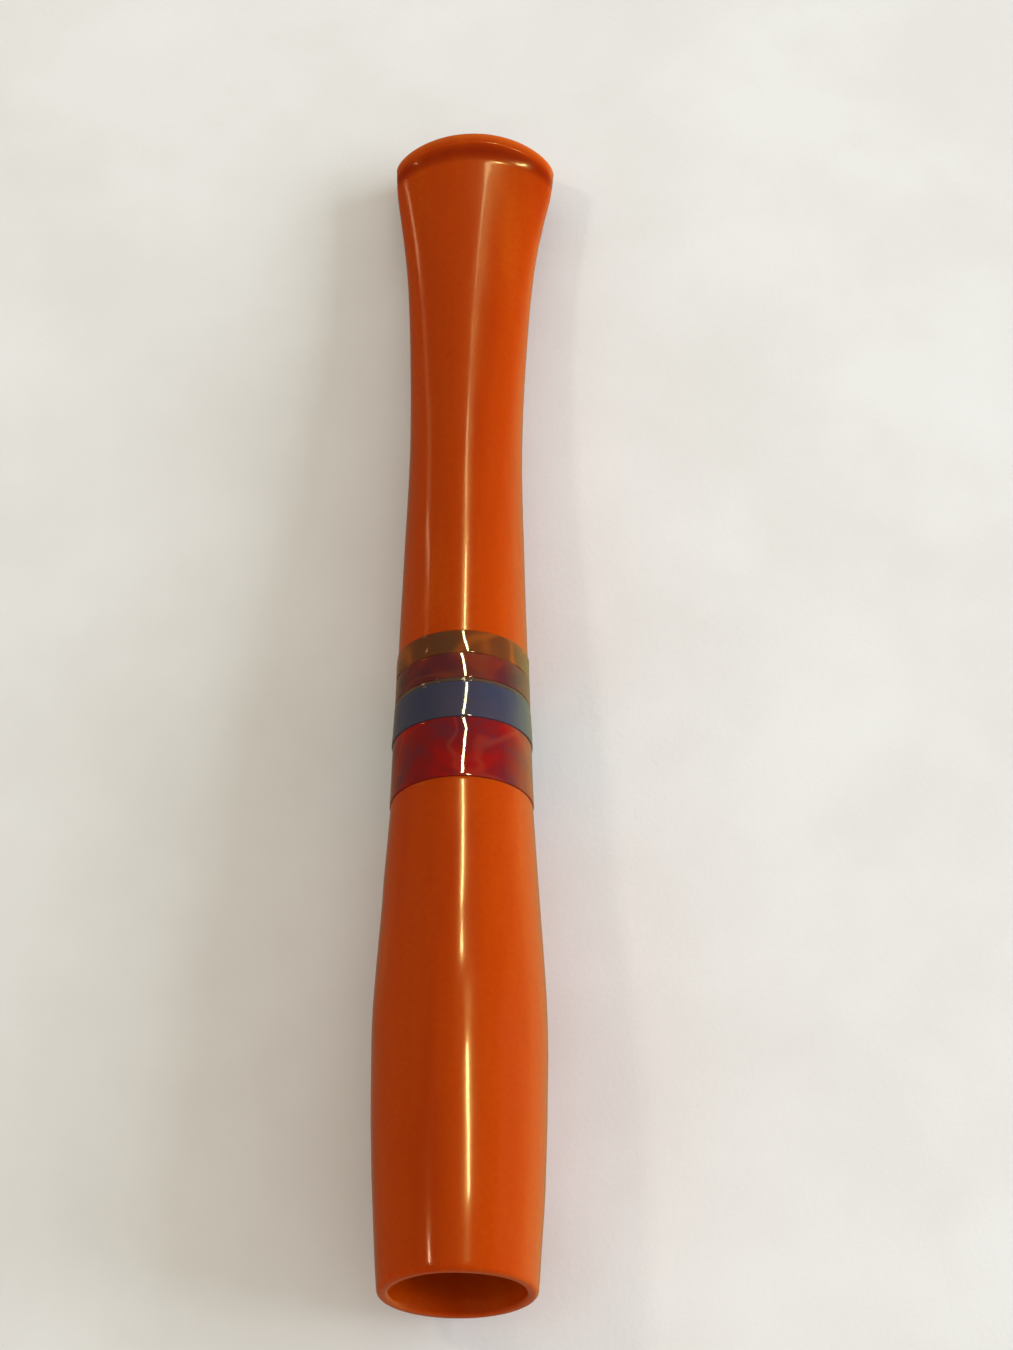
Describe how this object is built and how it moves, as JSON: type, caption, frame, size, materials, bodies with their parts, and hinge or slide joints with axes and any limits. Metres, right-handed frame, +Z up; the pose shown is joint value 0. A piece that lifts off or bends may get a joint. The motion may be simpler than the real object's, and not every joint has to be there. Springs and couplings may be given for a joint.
{
  "type": "cigarette holder",
  "caption": "Slim orange cigarette holder: open socket barrel, stack of coloured rings on a screwed tube, and a flattened mouthpiece with a lip.",
  "frame": {"origin": "on the table, under the middle of the holder's outline as it lies", "axes": "+Y along the holder from the socket's mouth to the lip, +X across the mouthpiece's width, +Z up from the table; the holder's own axis falls 2.4 degrees towards the lip because the belly is thicker than the lip"},
  "size_m": [0.0126, 0.0922, 0.0119],
  "materials": {
    "orange_resin": "polished cast resin",
    "red_ring": "polished marbled resin",
    "slate_ring": "polished resin",
    "olive_spacer": "polished resin",
    "maroon_ring": "polished marbled resin",
    "amber_ring": "polished translucent resin",
    "tenon_tube": "turned bone-coloured resin"
  },
  "bodies": {
    "barrel": {"barrel": "orange_resin"},
    "red_ring": {"red_ring": "red_ring"},
    "slate_ring": {"slate_ring": "slate_ring"},
    "olive_spacer": {"olive_spacer": "olive_spacer"},
    "maroon_ring": {"maroon_ring": "maroon_ring"},
    "amber_ring": {"amber_ring": "amber_ring"},
    "mouthpiece": {"mouthpiece": "orange_resin", "tenon_tube": "tenon_tube"}
  },
  "joints": [
    {"name": "red_ring_slide", "type": "slide", "parent": "barrel", "child": "red_ring", "axis": [0, 0.9991, -0.0416], "range_m": [0, 0.00128]},
    {"name": "slate_ring_slide", "type": "slide", "parent": "barrel", "child": "slate_ring", "axis": [0, 0.9991, -0.0416], "range_m": [0, 0.00256]},
    {"name": "olive_spacer_slide", "type": "slide", "parent": "barrel", "child": "olive_spacer", "axis": [0, 0.9991, -0.0416], "range_m": [0, 0.00384]},
    {"name": "maroon_ring_slide", "type": "slide", "parent": "barrel", "child": "maroon_ring", "axis": [0, 0.9991, -0.0416], "range_m": [0, 0.00512]},
    {"name": "amber_ring_slide", "type": "slide", "parent": "barrel", "child": "amber_ring", "axis": [0, 0.9991, -0.0416], "range_m": [0, 0.0064]},
    {"name": "stem_unscrew", "type": "hinge", "parent": "amber_ring", "child": "mouthpiece", "pos_m": [-0.0005, -0.01164, 0.00516], "axis": [0, 0.9991, -0.0416], "range_deg": [0, 2880]}
  ],
  "couplings": [
    {"joint": "red_ring_slide", "follows": "amber_ring_slide", "ratio": 0.2},
    {"joint": "slate_ring_slide", "follows": "amber_ring_slide", "ratio": 0.4},
    {"joint": "olive_spacer_slide", "follows": "amber_ring_slide", "ratio": 0.6},
    {"joint": "maroon_ring_slide", "follows": "amber_ring_slide", "ratio": 0.8},
    {"joint": "stem_unscrew", "follows": "amber_ring_slide", "rad_per_m": 7853.2}
  ]
}
